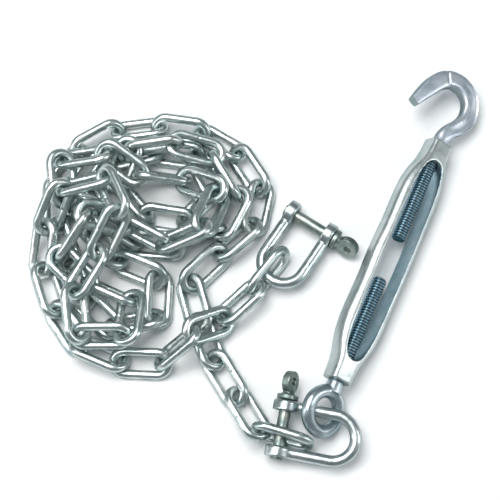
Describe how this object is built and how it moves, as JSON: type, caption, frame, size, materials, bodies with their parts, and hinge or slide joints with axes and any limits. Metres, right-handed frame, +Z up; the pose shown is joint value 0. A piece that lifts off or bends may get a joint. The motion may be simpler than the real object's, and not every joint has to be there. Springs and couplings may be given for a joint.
{
  "type": "load binder",
  "caption": "Zinc-plated load binder: open-frame turnbuckle with a hook bolt and an eye bolt, a long link chain lying in a heap, and a bow shackle with screw pin at each chain end.",
  "frame": {"origin": "centre of the bounding box, on the floor the object lies on", "axes": "+Z up; the turnbuckle lies 66 degrees round from +X towards +Y with its hook towards +Y; the chain heap is on the -X side"},
  "size_m": [0.3135, 0.2774, 0.0546],
  "materials": {
    "body_zinc": "zinc plated, satin",
    "hook_zinc": "zinc plated forging, slightly uneven",
    "rod_zinc": "zinc plated, bluish on the thread",
    "shackle_zinc": "zinc plated, bright",
    "pin_steel": "duller plating with dark traces on the head",
    "chain_zinc": "zinc plated wire, bright, weld marks"
  },
  "bodies": {
    "chain_heap": {"heap_01": "chain_zinc", "heap_02": "chain_zinc", "heap_03": "chain_zinc", "heap_04": "chain_zinc", "heap_05": "chain_zinc", "heap_06": "chain_zinc", "heap_07": "chain_zinc", "heap_08": "chain_zinc", "heap_09": "chain_zinc", "heap_10": "chain_zinc", "heap_11": "chain_zinc", "heap_12": "chain_zinc", "heap_13": "chain_zinc", "heap_14": "chain_zinc", "heap_15": "chain_zinc", "heap_16": "chain_zinc", "heap_17": "chain_zinc", "heap_18": "chain_zinc", "heap_19": "chain_zinc", "heap_20": "chain_zinc", "heap_21": "chain_zinc"},
    "link_a3": {"end_a_link_3": "chain_zinc"},
    "link_a2": {"end_a_link_2": "chain_zinc"},
    "link_a1": {"end_a_link_1": "chain_zinc"},
    "shackle_a": {"shackle_a_bow": "shackle_zinc"},
    "pin_a": {"shackle_a_pin": "pin_steel"},
    "eye": {"eye_bolt": "rod_zinc"},
    "frame": {"turnbuckle_body": "body_zinc"},
    "hook": {"hook_bolt": "hook_zinc"},
    "link_b2": {"end_b_link_2": "chain_zinc"},
    "link_b1": {"end_b_link_1": "chain_zinc"},
    "shackle_b": {"shackle_b_bow": "shackle_zinc"},
    "pin_b": {"shackle_b_pin": "pin_steel"}
  },
  "joints": [
    {"name": "link_a3_swing", "type": "hinge", "parent": "chain_heap", "child": "link_a3", "pos_m": [-0.02897, -0.06725, 0.00703], "axis": [0, 0, 1], "range_deg": [-4, 0]},
    {"name": "link_a2_swing", "type": "hinge", "parent": "link_a3", "child": "link_a2", "pos_m": [-0.0139, -0.09111, 0.0067], "axis": [0, 0, 1], "range_deg": [-4, 0]},
    {"name": "link_a1_swing", "type": "hinge", "parent": "link_a2", "child": "link_a1", "pos_m": [0.00098, -0.11497, 0.01159], "axis": [0, 0, 1], "range_deg": [-4, 0]},
    {"name": "shackle_a_swing", "type": "hinge", "parent": "link_a1", "child": "shackle_a", "pos_m": [0.01464, -0.11862, 0.01067], "axis": [0, 0, 1], "range_deg": [-5, 0]},
    {"name": "pin_a_slide", "type": "slide", "parent": "shackle_a", "child": "pin_a", "axis": [0.1904, 0.9732, 0.1287], "range_m": [0, 0.042]},
    {"name": "eye_swing", "type": "hinge", "parent": "shackle_a", "child": "eye", "pos_m": [0.04242, -0.10247, 0.0142], "axis": [0, 0, 1], "range_deg": [-6, 0]},
    {"name": "eye_rod_slide", "type": "slide", "parent": "eye", "child": "frame", "axis": [0.4067, 0.9135, 0], "range_m": [0, 0.052]},
    {"name": "hook_rod_slide", "type": "slide", "parent": "frame", "child": "hook", "axis": [0.4067, 0.9135, 0], "range_m": [0, 0.052]},
    {"name": "link_b2_swing", "type": "hinge", "parent": "chain_heap", "child": "link_b2", "pos_m": [-0.02177, -0.03896, 0.00859], "axis": [0, 0, 1], "range_deg": [0, 2]},
    {"name": "link_b1_swing", "type": "hinge", "parent": "link_b2", "child": "link_b1", "pos_m": [-0.00129, -0.01825, 0.01012], "axis": [0, 0, 1], "range_deg": [0, 2]},
    {"name": "shackle_b_swing", "type": "hinge", "parent": "link_b1", "child": "shackle_b", "pos_m": [0.00962, -0.01235, 0.01054], "axis": [0, 0, 1], "range_deg": [0, 3]},
    {"name": "pin_b_spin", "type": "hinge", "parent": "shackle_b", "child": "pin_b", "pos_m": [0.03616, 0.02819, 0.00858], "axis": [0.8368, -0.5475, 0.0055], "continuous": true}
  ],
  "couplings": [
    {"joint": "hook_rod_slide", "follows": "eye_rod_slide", "ratio": 1}
  ]
}
